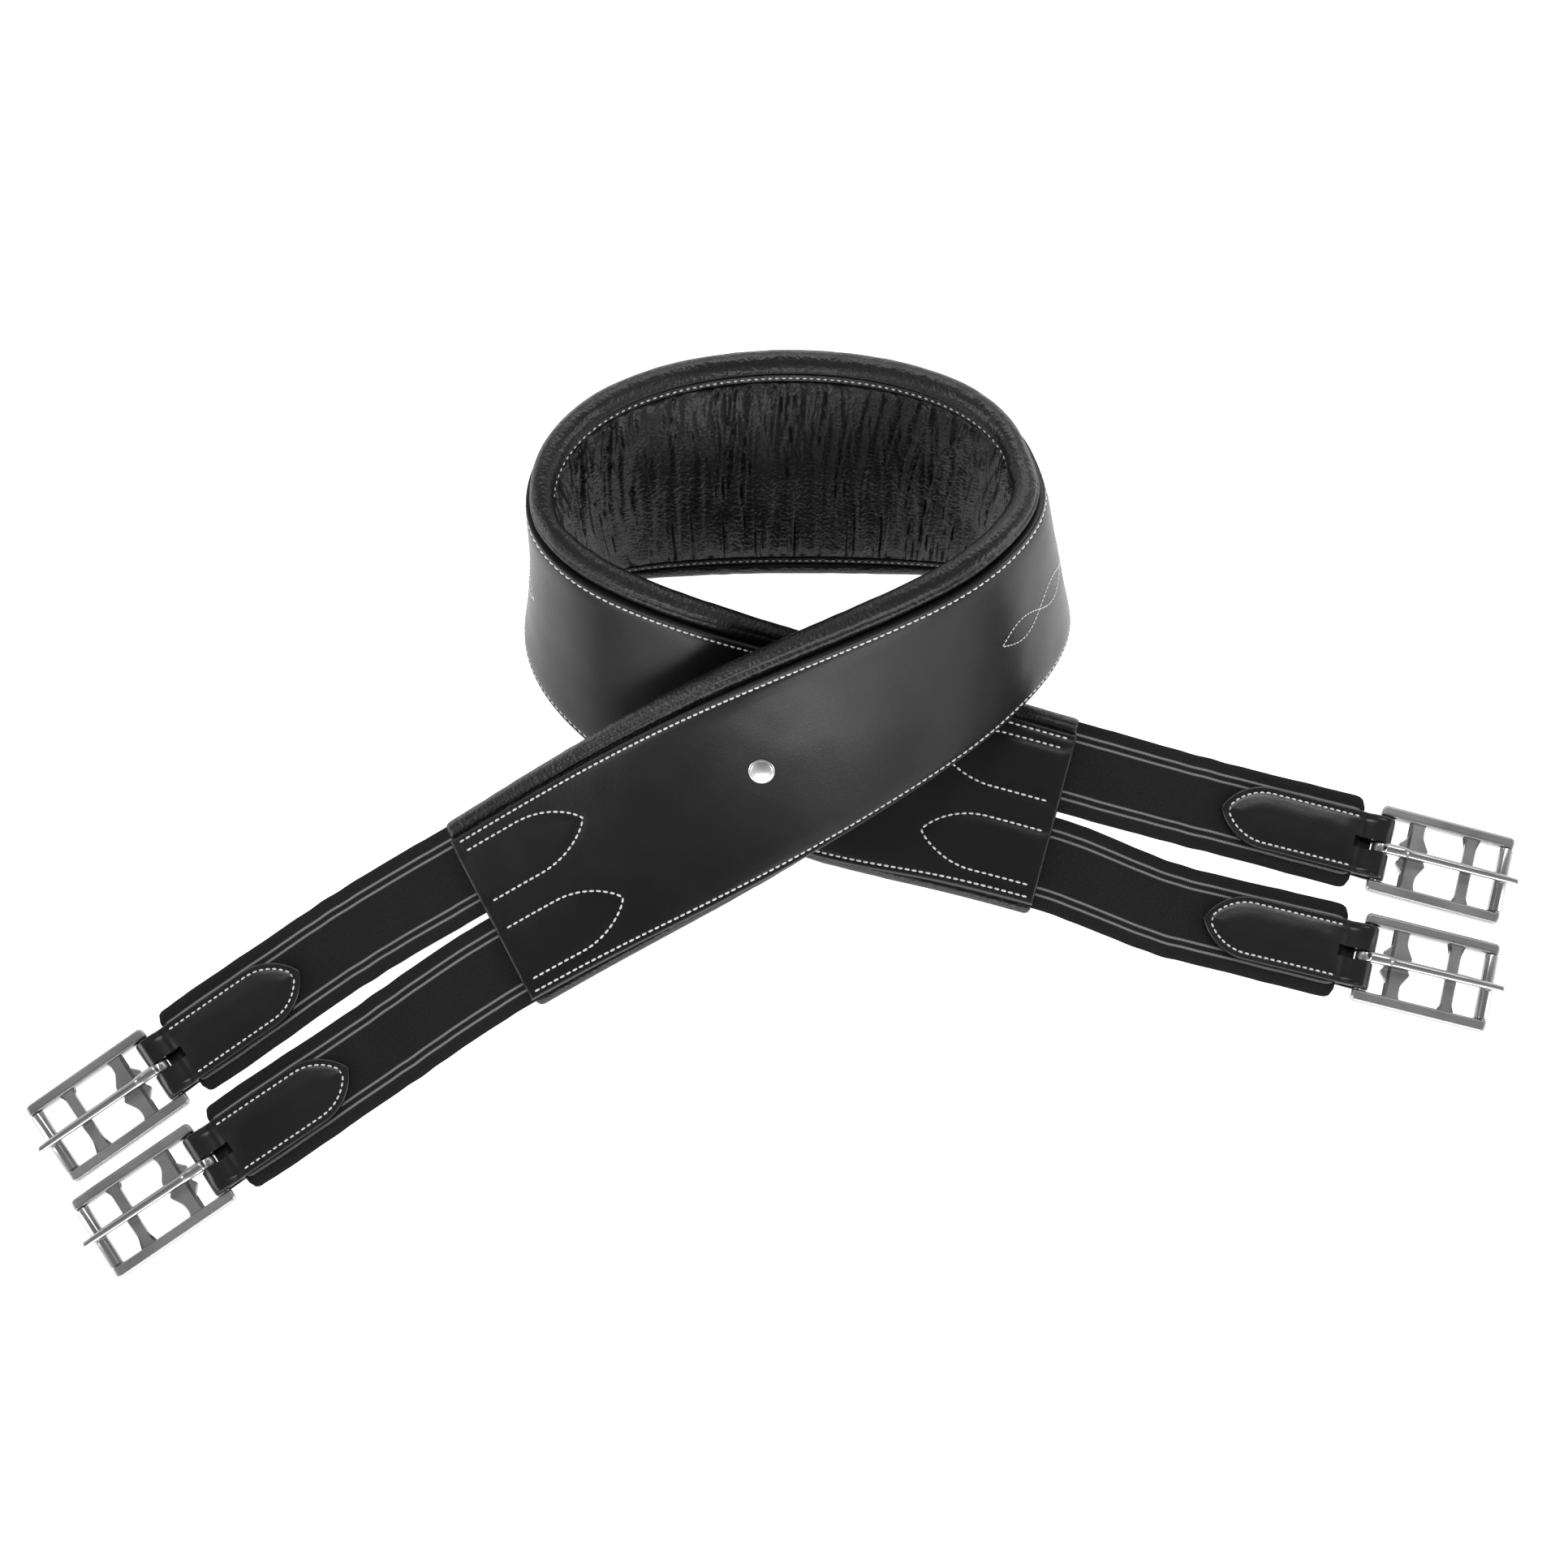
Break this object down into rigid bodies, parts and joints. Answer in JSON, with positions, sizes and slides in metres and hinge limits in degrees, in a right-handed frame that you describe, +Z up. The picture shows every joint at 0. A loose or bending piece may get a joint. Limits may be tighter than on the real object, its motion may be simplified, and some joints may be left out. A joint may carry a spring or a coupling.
{
  "type": "saddle girth",
  "caption": "Padded black leather girth with elastic straps and roller buckles at both ends, coiled with its ends crossed.",
  "frame": {"origin": "under the middle of the whole girth, on the ground", "axes": "+X along the girth's spread from the left buckles to the right ones, +Y from the crossed arms to the loop's back, +Z up"},
  "size_m": [0.6125, 0.3637, 0.1144],
  "materials": {
    "outer_leather": "smooth semi-gloss finished leather",
    "lining_leather": "soft wrinkled padded nappa",
    "chape_leather": "smooth semi-gloss finished leather",
    "foam": "soft open foam, hidden",
    "webbing": "woven polyester webbing, hidden",
    "elastic": "ribbed elastic webbing with grey lines",
    "thread": "waxed white thread",
    "stainless": "polished and satin stainless steel",
    "nickel": "nickel plated"
  },
  "bodies": {
    "girth_body": {"outer_leather": "outer_leather", "lining_leather": "lining_leather", "foam_pad": "foam", "web_core": "webbing", "rivet_stud": "nickel", "rivet_washer": "nickel", "elastic_left_upper": "elastic", "elastic_left_lower": "elastic", "elastic_right_upper": "elastic", "elastic_right_lower": "elastic"},
    "chape_left_upper": {"chape_left_upper": "chape_leather"},
    "frame_left_upper": {"frame_left_upper": "stainless"},
    "tongue_left_upper": {"tongue_left_upper": "stainless"},
    "roller_left_upper": {"roller_left_upper": "stainless"},
    "chape_left_lower": {"chape_left_lower": "chape_leather"},
    "frame_left_lower": {"frame_left_lower": "stainless"},
    "tongue_left_lower": {"tongue_left_lower": "stainless"},
    "roller_left_lower": {"roller_left_lower": "stainless"},
    "chape_right_upper": {"chape_right_upper": "chape_leather"},
    "frame_right_upper": {"frame_right_upper": "stainless"},
    "tongue_right_upper": {"tongue_right_upper": "stainless"},
    "roller_right_upper": {"roller_right_upper": "stainless"},
    "chape_right_lower": {"chape_right_lower": "chape_leather"},
    "frame_right_lower": {"frame_right_lower": "stainless"},
    "tongue_right_lower": {"tongue_right_lower": "stainless"},
    "roller_right_lower": {"roller_right_lower": "stainless"}
  },
  "joints": [
    {"name": "stretch_left_upper", "type": "slide", "parent": "girth_body", "child": "chape_left_upper", "axis": [-0.809, -0.5878, 0], "range_m": [0, 0.04], "stiffness_N_per_m": 1500, "deforming": ["elastic_left_upper"]},
    {"name": "swing_left_upper", "type": "hinge", "parent": "chape_left_upper", "child": "frame_left_upper", "pos_m": [-0.2525, -0.0975, 0.0042], "axis": [-0.5878, 0.809, 0], "range_deg": [-40, 30]},
    {"name": "tongue_swing_left_upper", "type": "hinge", "parent": "frame_left_upper", "child": "tongue_left_upper", "pos_m": [-0.2525, -0.0975, 0.0042], "axis": [-0.5878, 0.809, 0], "range_deg": [0, 95]},
    {"name": "roll_left_upper", "type": "hinge", "parent": "frame_left_upper", "child": "roller_left_upper", "pos_m": [-0.29415, -0.12776, 0.00303], "axis": [0.5878, -0.809, 0], "continuous": true},
    {"name": "stretch_left_lower", "type": "slide", "parent": "girth_body", "child": "chape_left_lower", "axis": [-0.8192, -0.5736, 0], "range_m": [0, 0.04], "stiffness_N_per_m": 1500, "deforming": ["elastic_left_lower"]},
    {"name": "swing_left_lower", "type": "hinge", "parent": "chape_left_lower", "child": "frame_left_lower", "pos_m": [-0.2315, -0.1365, 0.0042], "axis": [-0.5736, 0.8192, 0], "range_deg": [-40, 30]},
    {"name": "tongue_swing_left_lower", "type": "hinge", "parent": "frame_left_lower", "child": "tongue_left_lower", "pos_m": [-0.2315, -0.1365, 0.0042], "axis": [-0.5736, 0.8192, 0], "range_deg": [0, 95]},
    {"name": "roll_left_lower", "type": "hinge", "parent": "frame_left_lower", "child": "roller_left_lower", "pos_m": [-0.27368, -0.16603, 0.00303], "axis": [0.5736, -0.8192, 0], "continuous": true},
    {"name": "stretch_right_upper", "type": "slide", "parent": "girth_body", "child": "chape_right_upper", "axis": [0.9659, -0.2588, 0], "range_m": [0, 0.04], "stiffness_N_per_m": 1500, "deforming": ["elastic_right_upper"]},
    {"name": "swing_right_upper", "type": "hinge", "parent": "chape_right_upper", "child": "frame_right_upper", "pos_m": [0.2495, -0.0055, 0.0042], "axis": [-0.2588, -0.9659, 0], "range_deg": [-40, 30]},
    {"name": "tongue_swing_right_upper", "type": "hinge", "parent": "frame_right_upper", "child": "tongue_right_upper", "pos_m": [0.2495, -0.0055, 0.0042], "axis": [-0.2588, -0.9659, 0], "range_deg": [0, 95]},
    {"name": "roll_right_upper", "type": "hinge", "parent": "frame_right_upper", "child": "roller_right_upper", "pos_m": [0.29923, -0.01883, 0.00303], "axis": [0.2588, 0.9659, 0], "continuous": true},
    {"name": "stretch_right_lower", "type": "slide", "parent": "girth_body", "child": "chape_right_lower", "axis": [0.9703, -0.2419, 0], "range_m": [0, 0.04], "stiffness_N_per_m": 1500, "deforming": ["elastic_right_lower"]},
    {"name": "swing_right_lower", "type": "hinge", "parent": "chape_right_lower", "child": "frame_right_lower", "pos_m": [0.2405, -0.0515, 0.0042], "axis": [-0.2419, -0.9703, 0], "range_deg": [-40, 30]},
    {"name": "tongue_swing_right_lower", "type": "hinge", "parent": "frame_right_lower", "child": "tongue_right_lower", "pos_m": [0.2405, -0.0515, 0.0042], "axis": [-0.2419, -0.9703, 0], "range_deg": [0, 95]},
    {"name": "roll_right_lower", "type": "hinge", "parent": "frame_right_lower", "child": "roller_right_lower", "pos_m": [0.29046, -0.06396, 0.00303], "axis": [0.2419, 0.9703, 0], "continuous": true}
  ]
}
